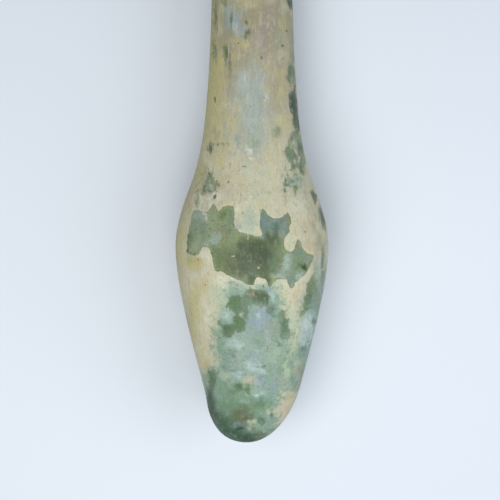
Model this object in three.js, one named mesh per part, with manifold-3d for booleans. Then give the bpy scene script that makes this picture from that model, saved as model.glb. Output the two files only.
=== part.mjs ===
// Roman glass unguentarium: a small blown scent bottle with a long neck, a swollen body and a rounded foot.
// The foot can't stand, so the bottle lies on its side, on its belly and on the edge of its lip.
// Millimetres. +Z is up, the mouth points to +Y, and the origin is under the middle of the bottle, on the ground.
import * as THREE from 'three';
import { mergeVertices } from 'three/addons/utils/BufferGeometryUtils.js';
import Module from 'manifold-3d';

const wasm = await Module();
wasm.setup();

const OVERALL = 122;
const LIP_RADIUS = 12;
const LIP_ROLL = 1.25;

// Rings of the outer form. Each has its radius, its distance along the axis from the tip of the foot, how fast the
// radius grows with distance there, and how far below and above it the outline leans towards that slope.
const FOOT = { radius: 9.1, at: 9, slope: 0.26, below: 3.6, above: 9.2 };
const BELLY = { radius: 15.3, at: 39.6, slope: 0, below: 8, above: 4 };
const SHOULDER = { radius: 12.3, at: 51.8, slope: -0.4, below: 4, above: 3.2 };
const NECK_START = { radius: 9.4, at: 64.6, slope: -0.11, below: 4.6, above: 8.2 };
const NECK_WAIST = { radius: 7.9, at: 98, slope: 0, below: 12, above: 12 };
const LIP_UNDER = { radius: LIP_RADIUS - LIP_ROLL, at: OVERALL - 2 * LIP_ROLL, slope: 0.94, below: 2.6 };

// The reach of the curve's handle at the foot's tip, square to the axis.
const FOOT_BLUNTNESS = 5.64;

// The walls are even, but for a thick gather of glass at the foot.
const SIDE_WALL = 1.2;
const FOOT_WALL = 4;
const FOOT_WALL_FADE = 4;

// The mouth narrows from the lip to the bore over a short funnel.
const FUNNEL_DEPTH = 13;
const FUNNEL_BRIM = 2.2;
const FUNNEL_EASE = 8;

// The blower's rod left the foot a little to one side.
const FOOT_LEAN = 1.2;
const FOOT_LEAN_LENGTH = 12;

// Small flats worn where the bottle lies, so that it doesn't roll.
const BELLY_FLAT = 0.2;
const LIP_FLAT = 0.12;

const ROUND_SEGMENTS = 40;
const CURVE_STEPS = 8;
const LIP_STEPS = 7;

// One stretch of the outline, from ring to ring.
function stretch(from, to) {
  return new THREE.CubicBezierCurve(
    new THREE.Vector2(from.radius, from.at),
    new THREE.Vector2(from.radius + from.slope * from.above, from.at + from.above),
    new THREE.Vector2(to.radius - to.slope * to.below, to.at - to.below),
    new THREE.Vector2(to.radius, to.at),
  );
}

// The outside from the tip of the foot up to the neck's waist.
function bodyCurves() {
  const foot = new THREE.CubicBezierCurve(
    new THREE.Vector2(0, 0),
    new THREE.Vector2(FOOT_BLUNTNESS, 0),
    new THREE.Vector2(FOOT.radius - FOOT.slope * FOOT.below, FOOT.at - FOOT.below),
    new THREE.Vector2(FOOT.radius, FOOT.at),
  );
  return [
    foot,
    stretch(FOOT, BELLY),
    stretch(BELLY, SHOULDER),
    stretch(SHOULDER, NECK_START),
    stretch(NECK_START, NECK_WAIST),
  ];
}

function wallAt(station) {
  return SIDE_WALL + (FOOT_WALL - SIDE_WALL) * Math.exp(-((station / FOOT_WALL_FADE) ** 2));
}

// The inside follows the outside at the wall's thickness, measured square to the surface.
function insideOf(curve, t) {
  const point = curve.getPoint(t);
  const tangent = curve.getTangent(t);
  const inward = new THREE.Vector2(-tangent.y, tangent.x);
  return point.clone().addScaledVector(inward, wallAt(point.y));
}

function lipPoints() {
  const centre = new THREE.Vector2(LIP_RADIUS - LIP_ROLL, OVERALL - LIP_ROLL);
  const points = [];
  for (let i = 1; i <= LIP_STEPS; i++) {
    const turn = -Math.PI / 2 + (Math.PI * i) / LIP_STEPS;
    const edge = new THREE.Vector2(Math.cos(turn), Math.sin(turn));
    points.push(centre.clone().addScaledVector(edge, LIP_ROLL));
  }
  return points;
}

// The whole section, from the foot's tip up the outside, over the rolled lip and down to the inner floor.
function section() {
  const body = bodyCurves();
  const outer = [...body, stretch(NECK_WAIST, LIP_UNDER)];
  const outside = outer.flatMap((curve, i) => curve.getPoints(CURVE_STEPS).slice(i ? 1 : 0));
  const lip = lipPoints();
  const boreRadius = NECK_WAIST.radius - SIDE_WALL;
  const boreTop = OVERALL - FUNNEL_DEPTH;
  const funnel = new THREE.CubicBezierCurve(
    lip[lip.length - 1],
    new THREE.Vector2(boreRadius + FUNNEL_BRIM, OVERALL),
    new THREE.Vector2(boreRadius, boreTop + FUNNEL_EASE),
    new THREE.Vector2(boreRadius, boreTop),
  );
  const inside = [];
  body.forEach((curve, i) => {
    for (let step = i ? 1 : 0; step <= CURVE_STEPS; step++) inside.push(insideOf(curve, step / CURVE_STEPS));
  });
  inside[0].x = 0;
  return [...outside, ...lip, ...funnel.getPoints(CURVE_STEPS).slice(1), ...inside.reverse()];
}

// Moves the foot aside, easing out up the body.
function leanFoot(geometry) {
  const position = geometry.getAttribute('position');
  for (let i = 0; i < position.count; i++) {
    const ease = 1 - THREE.MathUtils.smoothstep(position.getY(i), 0, FOOT_LEAN_LENGTH);
    position.setX(i, position.getX(i) - FOOT_LEAN * ease);
  }
}

// Lays the bottle down, so that the belly and the lip both reach just under the ground plane.
function layDown(geometry) {
  const lipAt = OVERALL - LIP_ROLL;
  const drop = BELLY.radius - BELLY_FLAT - (LIP_RADIUS - LIP_FLAT);
  const tilt = Math.atan(drop / (lipAt - BELLY.at));
  geometry.translate(0, -BELLY.at, 0);
  geometry.rotateX(-tilt);
  geometry.translate(0, 0, BELLY.radius - BELLY_FLAT);
  geometry.computeBoundingBox();
  const { min, max } = geometry.boundingBox;
  geometry.translate(0, -(min.y + max.y) / 2, 0);
}

function solidFrom(geometry) {
  geometry.deleteAttribute('normal');
  geometry.deleteAttribute('uv');
  const merged = mergeVertices(geometry, 1e-4);
  return new wasm.Manifold(new wasm.Mesh({
    numProp: 3,
    vertProperties: merged.getAttribute('position').array,
    triVerts: new Uint32Array(merged.index.array),
  }));
}

function geometryFrom(solid) {
  const mesh = solid.getMesh();
  return new THREE.BufferGeometry()
    .setAttribute('position', new THREE.BufferAttribute(mesh.vertProperties, mesh.numProp))
    .setIndex(new THREE.BufferAttribute(mesh.triVerts, 1));
}

// The part of space below the ground, which wears the two flats.
function groundBlock() {
  const size = 2 * OVERALL;
  const block = new THREE.BoxGeometry(size, size, size);
  block.translate(0, 0, -size / 2);
  return block;
}

function bottle() {
  const turned = new THREE.LatheGeometry(section(), ROUND_SEGMENTS);
  leanFoot(turned);
  layDown(turned);
  const worn = solidFrom(turned).subtract(solidFrom(groundBlock()));
  const weatheredGlass = new THREE.MeshStandardMaterial({ color: 0xb9b698, roughness: 0.6, metalness: 0 });
  const mesh = new THREE.Mesh(geometryFrom(worn), weatheredGlass);
  mesh.name = 'bottle';
  return mesh;
}

const unguentarium = new THREE.Group();
unguentarium.add(bottle());

export default unguentarium;
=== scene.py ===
"""Roman glass unguentarium: a blown scent bottle of pale green glass under a cream weathering crust.

The bottle lies on its belly with its mouth to +Y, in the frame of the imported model. Blender's lengths are
metres. The weathering is laid out in millimetres, as it shows on the photographed side: across from the
bottle's axis, and up from the tip of the foot.
"""

import math
from collections import namedtuple

import bpy
import numpy as np
from mathutils import Matrix, Vector, noise


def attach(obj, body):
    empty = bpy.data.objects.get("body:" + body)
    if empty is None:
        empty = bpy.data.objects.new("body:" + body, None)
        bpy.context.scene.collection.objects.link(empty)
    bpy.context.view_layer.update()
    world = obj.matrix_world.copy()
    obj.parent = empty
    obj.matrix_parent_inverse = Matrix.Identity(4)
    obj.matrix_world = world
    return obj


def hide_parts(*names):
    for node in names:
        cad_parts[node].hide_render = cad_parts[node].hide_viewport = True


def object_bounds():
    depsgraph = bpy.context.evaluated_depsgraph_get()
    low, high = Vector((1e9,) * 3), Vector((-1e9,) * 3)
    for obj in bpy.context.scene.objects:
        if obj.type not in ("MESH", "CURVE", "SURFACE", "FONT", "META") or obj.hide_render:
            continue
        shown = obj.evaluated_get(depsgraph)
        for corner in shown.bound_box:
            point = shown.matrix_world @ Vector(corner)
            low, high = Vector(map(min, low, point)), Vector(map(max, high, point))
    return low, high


bl_info = {
    "name": "Weathered Glass Bottle",
    "version": (1, 0, 0),
    "blender": (4, 5, 0),
    "location": "3D View > Sidebar > Bottle",
    "description": "Blows, weathers and lights a small ancient scent bottle",
    "category": "Mesh",
}

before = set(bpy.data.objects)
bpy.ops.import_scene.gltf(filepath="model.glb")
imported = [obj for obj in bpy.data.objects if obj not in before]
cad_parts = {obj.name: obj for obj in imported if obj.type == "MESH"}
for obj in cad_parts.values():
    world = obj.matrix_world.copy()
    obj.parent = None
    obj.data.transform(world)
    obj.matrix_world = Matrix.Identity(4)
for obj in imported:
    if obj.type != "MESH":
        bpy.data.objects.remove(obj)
CAD_LOW, CAD_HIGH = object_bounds()
MM = 0.001
WELD = 0.001 * MM


def length(name, description, millimetres):
    return bpy.props.FloatProperty(
        name=name, description=description, default=millimetres * MM, precision=5, unit="LENGTH"
    )


def linear(red, green, blue):
    """A screen colour, 0 to 255, as the linear colour that Blender works in."""
    return [((c / 255 + 0.055) / 1.055) ** 2.4 for c in (red, green, blue)]


def colour(name, description, red, green, blue):
    default = linear(red, green, blue)
    return bpy.props.FloatVectorProperty(
        name=name, description=description, subtype="COLOR", size=3, min=0, max=1, default=default
    )


def power(name, description, watts):
    return bpy.props.FloatProperty(name=name, description=description, default=watts, min=0, unit="POWER")


class BottleSizes(bpy.types.PropertyGroup):
    """The blown form. Stations are measured along the bottle's own axis from the tip of the foot."""

    overall: length("Overall length", "From the tip of the foot to the top of the lip", 122)
    foot_end: length("Foot end", "Station where the round foot passes into the cone of the body", 9)
    foot_radius: length("Foot radius", "Radius where the round foot ends", 9.1)
    foot_bluntness: length("Foot bluntness", "How far the tip of the foot stays nearly flat", 5.64)
    belly_at: length("Belly station", "Station of the widest ring", 39.6)
    belly_radius: length("Belly radius", "Radius of the widest ring, as in the packed model", CAD_HIGH.x / MM)
    shoulder_at: length("Shoulder station", "Station of the steepest part of the shoulder", 51.8)
    shoulder_radius: length("Shoulder radius", "Radius at the shoulder station", 12.3)
    neck_at: length("Neck station", "Station where the shoulder passes into the neck", 64.6)
    neck_radius: length("Neck radius", "Radius where the neck starts", 9.4)
    waist_at: length("Waist station", "Station of the narrowest ring of the neck", 98)
    waist_radius: length("Waist radius", "Radius of the narrowest ring of the neck", 7.9)
    lip_radius: length("Lip radius", "Outer radius of the rolled lip", 12)
    lip_roll: length("Lip roll", "Radius of the roll itself", 1.25)
    side_wall: length("Wall", "Thickness of the glass in the body and the neck", 1.2)
    foot_wall: length("Foot wall", "Thickness of the gather of glass under the floor", 4)
    funnel_depth: length("Funnel depth", "How far below the lip the mouth has narrowed to the bore", 13)
    funnel_ease: length("Funnel ease", "How far above its end the funnel is nearly as narrow as the bore", 8)
    funnel_brim: length("Funnel brim", "How far outside the bore the mouth's top starts to turn down", 2.2)
    foot_lean: length("Foot lean", "How far the tip of the foot stands off the axis", 1.2)
    foot_lean_length: length("Foot lean length", "Length over which the lean fades", 12)
    belly_flat: length("Belly flat", "Depth worn off the belly where it rests", 0.2)
    lip_flat: length("Lip flat", "Depth worn off the lip where it rests", 0.12)
    crust: length("Crust thickness", "How far the bare glass lies below the crust", 0.1)
    ring_step: length("Ring spacing", "Distance between the rings of the outer surface", 0.39)
    inner_step: length("Inner ring spacing", "Distance between the rings of the inner surface", 1.9)
    segments: bpy.props.IntProperty(name="Segments", description="Faces round each ring", default=244, min=8)


class BottleColours(bpy.types.PropertyGroup):
    """The colours of the crust, of the film under it and of the glass."""

    cream: colour("Cream", "Most of the crust", 187, 182, 155)
    # Chalk is mostly the palest crust, and also paints a white glint on the neck.
    chalk_and_glint: colour("Chalk", "Palest crust", 206, 204, 184)
    straw: colour("Straw", "Yellowed crust along the left", 180, 173, 118)
    tan: colour("Tan", "Crust stained by earth", 178, 162, 114)
    # Dun is partly greyer crust, and partly painted shade that darkens the neck towards the mouth, where the
    # light falls off.
    dun_and_neck_shade: colour("Dun", "Greyer crust high on the neck", 138, 131, 106)
    rose: colour("Rose", "Faintly pink crust", 184, 172, 148)
    mauve: colour("Mauve", "Iridescent tinge high on the neck", 138, 128, 122)
    # Haze is partly a bluish bloom, and partly a painted reflection of the light down the middle of the neck
    # and painted highlights high on it.
    haze_and_highlight: colour("Haze", "Bluish bloom down the middle of the neck", 147, 157, 150)
    mint: colour("Mint", "Crust thin enough for the glass to show through", 169, 182, 154)
    teal: colour("Teal film", "Milky film on the lower body", 132, 156, 138)
    lavender: colour("Lavender film", "Film with a blue cast", 134, 150, 156)
    milk: colour("Milk film", "Whitest film", 177, 197, 195)
    sage: colour("Sage", "Film worn nearly through", 118, 144, 120)
    olive: colour("Olive glass", "Bare glass with a thin bloom", 154, 168, 120)
    moss: colour("Moss glass", "Bare glass at its clearest", 43, 66, 31)
    slate: colour("Slate glass", "Bare glass with a blue-grey bloom", 116, 142, 134)
    leaf: colour("Leaf glass", "Bare glass at its greenest", 82, 120, 62)
    fern: colour("Fern glass", "Bare glass with a green bloom", 92, 120, 88)
    deep: colour("Deep glass", "Thick glass at the foot", 44, 76, 52)
    shade: colour("Shaded glass", "Thickest glass at the tip of the foot", 26, 50, 28)
    umber: colour("Umber", "Iron stain on the glass", 92, 88, 60)
    earth: colour("Earth", "Earth in the pits", 80, 70, 50)
    inner: colour("Inner film", "Dull film on the inner wall", 150, 152, 122)


class StageSettings(bpy.types.PropertyGroup):
    """The floor, the light and the place that the camera looks from."""

    floor: colour("Floor", "Plain pale floor", 208, 214, 221)
    air: colour("Air", "Soft light from all round", 214, 226, 240)
    distance: length("Camera distance", "From the lens to the bottle's axis", 375)
    focal: bpy.props.FloatProperty(name="Focal length", description="In mm, on a frame of 36 mm", default=135)
    elevation: bpy.props.FloatProperty(
        name="Elevation",
        description="How far the lens stands above square to the axis, towards the mouth",
        default=math.radians(5),
        subtype="ANGLE",
    )
    aim_across: length("Aim across", "The view's middle, right of the axis", -0.4)
    aim_up: length("Aim up", "The view's middle, as a station along the axis", 38.9)
    picture_middle: length("Picture middle", "The view's middle, up from the lowest point that shows", 38.6)
    picture_top: length("Picture top", "Where the photograph cuts the neck off, up from the lowest point", 89)
    key_power: power("Key light", "Power of the light over the left shoulder", 0.575)
    fill_power: power("Fill light", "Power of the light from the right", 0.435)
    air_strength: bpy.props.FloatProperty(name="Air strength", description="Of the air's light", default=0.35)


# Where the crust has flaked off and the glass is bare. Outlines are closed, as (across, up) in millimetres.
LEFT_LOBE = [
    (-13.2, 38.4), (-13.1, 40.2), (-12.8, 41.9), (-12.6, 43.4), (-12.3, 44.8), (-11.9, 46.3), (-11.0, 46.8),
    (-9.9, 46.3), (-8.9, 46.4), (-8.3, 47.1), (-7.7, 47.7), (-7.1, 47.1), (-6.7, 46.3), (-6.2, 46.6),
    (-5.8, 47.4), (-4.8, 47.5), (-3.8, 47.4), (-3.5, 46.0), (-3.6, 44.7), (-3.7, 43.6), (-2.5, 42.2),
    (-2.5, 40.0), (-6.0, 38.6), (-8.3, 38.5), (-8.9, 39.1), (-9.8, 39.3), (-10.3, 38.9), (-10.6, 38.0),
    (-11.3, 37.5), (-12.2, 37.6),
]
MIDDLE = [
    (-8.3, 38.6), (-6.0, 41.5), (-3.7, 43.0), (-2.5, 42.2), (-1.4, 42.0), (0.7, 41.4), (2.5, 41.2),
    (6.5, 41.0), (6.3, 40.0), (6.6, 38.9), (7.2, 38.3), (7.4, 36.0), (7.1, 32.8), (5.1, 32.7), (4.3, 32.2),
    (3.9, 31.4), (3.4, 31.1), (3.1, 31.8), (2.8, 32.6), (1.9, 33.0), (0.9, 33.3), (0.6, 32.4), (0.5, 31.7),
    (-0.5, 31.4), (-1.2, 31.8), (-2.1, 32.3), (-3.8, 33.0), (-4.7, 33.5), (-6.4, 34.4), (-7.1, 34.2),
    (-7.6, 34.8), (-7.9, 36.0), (-8.1, 37.5),
]
EARS = [
    (1.5, 40.8), (2.0, 41.8), (1.8, 43.0), (1.5, 44.3), (1.7, 45.8), (1.9, 47.1), (2.7, 46.3), (3.5, 45.4),
    (4.5, 45.0), (5.5, 44.9), (6.4, 45.5), (7.2, 46.3), (7.6, 45.2), (8.0, 44.2), (7.5, 43.4), (7.6, 42.4),
    (7.1, 41.7), (6.5, 41.0), (6.3, 39.5), (3.0, 39.0),
]
RIGHT_LOBE = [
    (6.5, 38.8), (7.2, 38.3), (8.1, 38.1), (8.5, 38.7), (8.7, 39.8), (8.9, 40.4), (9.3, 41.0), (9.8, 40.3),
    (10.0, 39.4), (10.5, 38.6), (11.1, 37.9), (12.5, 37.4), (12.0, 36.5), (11.1, 34.3), (10.5, 33.5),
    (9.6, 32.8), (8.8, 32.2), (8.5, 31.2), (7.7, 30.9), (7.3, 31.7), (7.1, 32.8), (6.5, 34.5),
]
NECK_STRIP = [
    (7.6, 68.0), (7.5, 69.6), (8.5, 71.0), (9.6, 71.0), (9.9, 63.0), (10.2, 60.6), (9.2, 61.8), (8.6, 63.0),
    (8.2, 64.9), (7.8, 66.9),
]
NECK_FOOT = [
    (8.8, 62.8), (10.2, 61.8), (11.0, 59.3), (10.9, 56.9), (10.3, 53.6), (9.7, 54.0), (9.3, 55.4),
    (8.8, 54.6), (8.1, 54.4), (7.8, 56.0), (6.9, 57.0), (6.4, 58.2), (7.1, 59.5), (7.6, 61.2),
]
SHOULDER_LEFT = [
    (-8.8, 54.3), (-8.3, 53.9), (-7.7, 52.8), (-6.9, 51.5), (-7.3, 50.6), (-8.2, 50.2), (-9.2, 50.2),
    (-9.9, 50.0), (-10.3, 50.6), (-9.7, 51.7), (-9.2, 52.8),
]
RIM_SLIVER = [(11.6, 50.2), (12.0, 51.0), (12.5, 50.6), (13.1, 49.1), (12.8, 47.7), (12.3, 48.7)]
RIM_STRIP = [(13.2, 48.4), (13.4, 45.7), (14.0, 43.4), (14.6, 42.4), (15.6, 43.5), (14.8, 47.4)]
NECK_TOP = [(7.0, 88.8), (7.2, 91.0), (8.4, 91.0), (8.4, 86.4), (7.8, 86.7), (7.3, 87.7)]
LEAF_TOP = [
    (-5.2, 27.3), (-4.6, 28.6), (-4.2, 29.4), (-3.2, 29.5), (-2.2, 29.2), (-1.2, 28.6), (-0.9, 27.4),
    (-1.8, 26.7), (-2.3, 26.2), (-2.9, 25.6), (-3.8, 26.2), (-4.7, 26.4),
]
LEAF_MIDDLE = [
    (-3.7, 25.2), (-2.8, 25.6), (-2.0, 25.0), (-1.4, 24.2), (-1.3, 22.9), (-2.2, 22.0), (-3.1, 22.4),
    (-4.0, 23.0), (-3.9, 24.2),
]
LEAF_LEFT = [
    (-6.4, 23.9), (-5.2, 23.7), (-4.1, 23.8), (-3.4, 22.9), (-3.6, 21.7), (-4.8, 20.9), (-5.6, 21.4),
    (-6.0, 22.5),
]
LEAF_RIGHT = [
    (5.4, 26.0), (6.0, 26.3), (7.0, 26.0), (7.3, 23.9), (8.2, 21.4), (7.0, 21.3), (5.9, 21.0), (5.7, 22.9),
    (5.5, 24.0),
]
OLIVE_SPOT = [(2.9, 27.8), (4.0, 27.7), (4.9, 27.0), (4.6, 26.0), (3.9, 25.4), (3.0, 26.1)]
BROWN_SPOT = [
    (-2.0, 29.2), (-1.0, 30.4), (0.8, 30.8), (2.6, 30.4), (3.6, 29.4), (3.7, 28.3), (3.3, 27.4),
    (1.8, 27.3), (0.6, 27.7), (-0.6, 27.6), (-1.4, 27.9), (-2.4, 28.4),
]

# Each bare patch with the width of its edge in millimetres: narrow is crisp, wide is worn and ragged.
BARE_PATCHES = [
    (LEFT_LOBE, 0.12), (MIDDLE, 0.06), (EARS, 0.05), (RIGHT_LOBE, 0.07), (NECK_STRIP, 0.3),
    (NECK_FOOT, 0.35), (SHOULDER_LEFT, 0.7), (RIM_SLIVER, 0.15), (RIM_STRIP, 0.2), (NECK_TOP, 0.2),
    (LEAF_TOP, 0.25), (LEAF_MIDDLE, 0.25), (LEAF_LEFT, 0.25), (LEAF_RIGHT, 0.5), (OLIVE_SPOT, 0.6),
    (BROWN_SPOT, 0.3),
]

# Small bare chips with worn edges, as (across, up, half width, half height).
BARE_CHIPS = [
    (-8.4, 59.0, 0.4, 0.9), (-6.5, 59.8, 0.8, 0.12), (-10.9, 49.3, 0.15, 0.9), (-11.2, 48.3, 0.15, 0.6),
    (-5.6, 79.3, 0.4, 0.7), (-5.3, 78.0, 0.4, 1.2), (-4.7, 76.5, 0.2, 0.9), (-4.3, 75.8, 0.14, 0.9),
    (-7.5, 78.2, 0.25, 1.2), (-5.5, 88.2, 0.3, 1.1), (-7.3, 85.4, 0.25, 2.2), (7.8, 74.4, 0.5, 1.8),
    (8.4, 75.0, 0.35, 2.4), (7.3, 73.2, 0.4, 0.7), (-4.2, 84.6, 0.14, 1.1), (-1.3, 84.6, 0.2, 0.8),
    (-1.0, 81.8, 0.5, 0.8), (7.7, 77.4, 0.14, 0.9), (8.8, 71.0, 0.4, 0.8), (6.65, 51.6, 0.18, 1.5),
    (7.2, 53.0, 0.14, 0.5), (8.6, 50.8, 0.12, 0.9), (12.3, 32.2, 0.5, 1.6), (11.6, 30.6, 0.6, 1.9),
    (11.1, 28.6, 0.6, 1.1), (10.9, 27.0, 0.5, 0.8), (9.9, 26.0, 0.4, 0.6), (12.9, 30.2, 0.25, 0.8),
    (13.4, 28.4, 0.25, 1.0), (14.2, 36.6, 0.3, 1.8), (14.2, 33.4, 0.3, 1.0), (12.6, 24.1, 0.4, 0.5),
    (-6.7, 23.9, 0.3, 0.3), (-1.2, 26.0, 0.35, 1.2), (10.4, 18.8, 0.5, 0.5), (-4.4, 18.6, 0.4, 0.2),
    (-3.7, 17.3, 0.3, 0.25), (-5.4, 15.0, 0.5, 0.3), (-4.0, 14.4, 0.9, 0.14), (2.0, 15.2, 0.5, 0.2),
    (5.7, 19.6, 0.3, 0.2), (-8.0, 12.8, 0.6, 1.6), (-8.5, 9.0, 0.5, 2.0), (-7.6, 5.4, 0.7, 1.4),
    (1.8, 4.2, 0.5, 0.5), (4.1, 5.6, 0.3, 0.4), (3.9, 2.7, 0.3, 0.25), (-0.9, 10.4, 0.5, 0.5),
    (-2.7, 11.0, 0.5, 0.7),
]

# Flecks of crust still standing on the bare glass.
CRUST_FLECKS = [
    (-9.5, 45.9, 0.5, 0.35), (-9.2, 45.0, 0.35, 0.4), (-3.8, 37.4, 0.4, 0.2), (0.7, 36.2, 0.2, 0.2),
    (1.4, 35.1, 0.3, 0.2), (1.9, 35.6, 0.2, 0.24), (0.4, 29.9, 0.2, 0.25), (2.6, 28.7, 0.16, 0.3),
    (8.9, 58.2, 0.25, 1.4), (8.3, 60.1, 0.25, 1.0), (-8.6, 51.7, 0.35, 0.4), (9.4, 57.0, 0.25, 0.6),
    (9.6, 61.6, 0.2, 0.7), (-0.9, 40.8, 0.1, 0.8), (0.7, 29.3, 0.18, 0.2), (-0.8, 29.6, 0.2, 0.2),
]

# Pits with earth in them.
PITS = [
    (-7.5, 49.2, 0.36, 0.4), (-7.9, 48.7, 0.2, 0.2), (-4.7, 52.3, 0.2, 0.26), (-2.2, 49.7, 0.14, 0.4),
    (-3.8, 48.7, 0.16, 0.16), (-1.9, 46.2, 0.26, 0.26), (-1.6, 55.3, 0.45, 0.18), (-4.4, 55.7, 0.12, 0.4),
    (-5.8, 54.9, 0.12, 0.2), (10.7, 42.3, 0.22, 0.24), (10.7, 34.9, 0.4, 0.36), (-10.8, 36.7, 0.2, 0.2),
    (-9.3, 31.6, 0.22, 0.22), (-10.1, 28.8, 0.15, 0.15), (-11.5, 21.3, 0.14, 0.18),
    (-10.6, 24.3, 0.12, 0.12), (-13.0, 38.4, 0.22, 0.3), (-12.4, 38.2, 0.16, 0.16), (6.2, 79.4, 0.28, 0.26),
    (6.3, 77.0, 0.24, 0.22), (2.0, 77.1, 0.24, 0.36), (-3.6, 80.1, 0.16, 0.18), (-2.8, 80.0, 0.18, 0.18),
    (7.0, 82.4, 0.2, 0.26), (-4.9, 67.4, 0.2, 0.2), (-0.3, 67.4, 0.16, 0.18), (2.4, 69.1, 0.18, 0.24),
    (-8.6, 53.9, 0.25, 0.3), (-7.5, 68.7, 0.2, 0.7), (2.3, 31.4, 0.24, 0.36), (1.9, 40.9, 0.2, 0.12),
    (3.0, 38.2, 0.14, 0.14), (-12.9, 39.2, 0.1, 0.9),
]

# Where the crust has thinned to a milky film.
FILM_BODY = [
    (-4.6, 31.8), (-6.0, 29.0), (-7.1, 24.9), (-7.8, 20.4), (-7.6, 17.8), (-7.4, 16.2), (-8.0, 14.9),
    (-8.8, 14.4), (-9.8, 13.8), (-10.6, 10.6), (-13.0, 9.0), (-12.0, -3.0), (3.0, -3.0), (6.6, 1.0),
    (5.4, 3.2), (4.4, 4.2), (4.7, 6.0), (5.4, 8.0), (6.2, 9.6), (7.0, 10.6), (8.4, 10.6), (10.4, 11.4),
    (13.0, 18.0), (15.6, 26.0), (15.2, 33.4), (13.0, 33.0), (11.2, 31.4), (10.3, 28.8), (9.5, 26.4),
    (9.4, 23.0), (9.3, 20.4), (8.6, 18.4), (7.9, 19.4), (7.7, 21.4), (7.5, 23.0), (6.8, 26.0), (6.3, 28.6),
    (5.3, 31.2), (3.3, 32.0), (1.8, 31.2), (0.0, 31.6), (-1.8, 31.6),
]
FILM_SHOULDER = [(6.9, 53.0), (7.7, 53.4), (9.2, 53.6), (9.8, 52.6), (8.8, 51.3), (7.7, 51.7), (7.0, 51.3)]
FILM_PATCHES = [FILM_BODY, FILM_SHOULDER]

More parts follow.
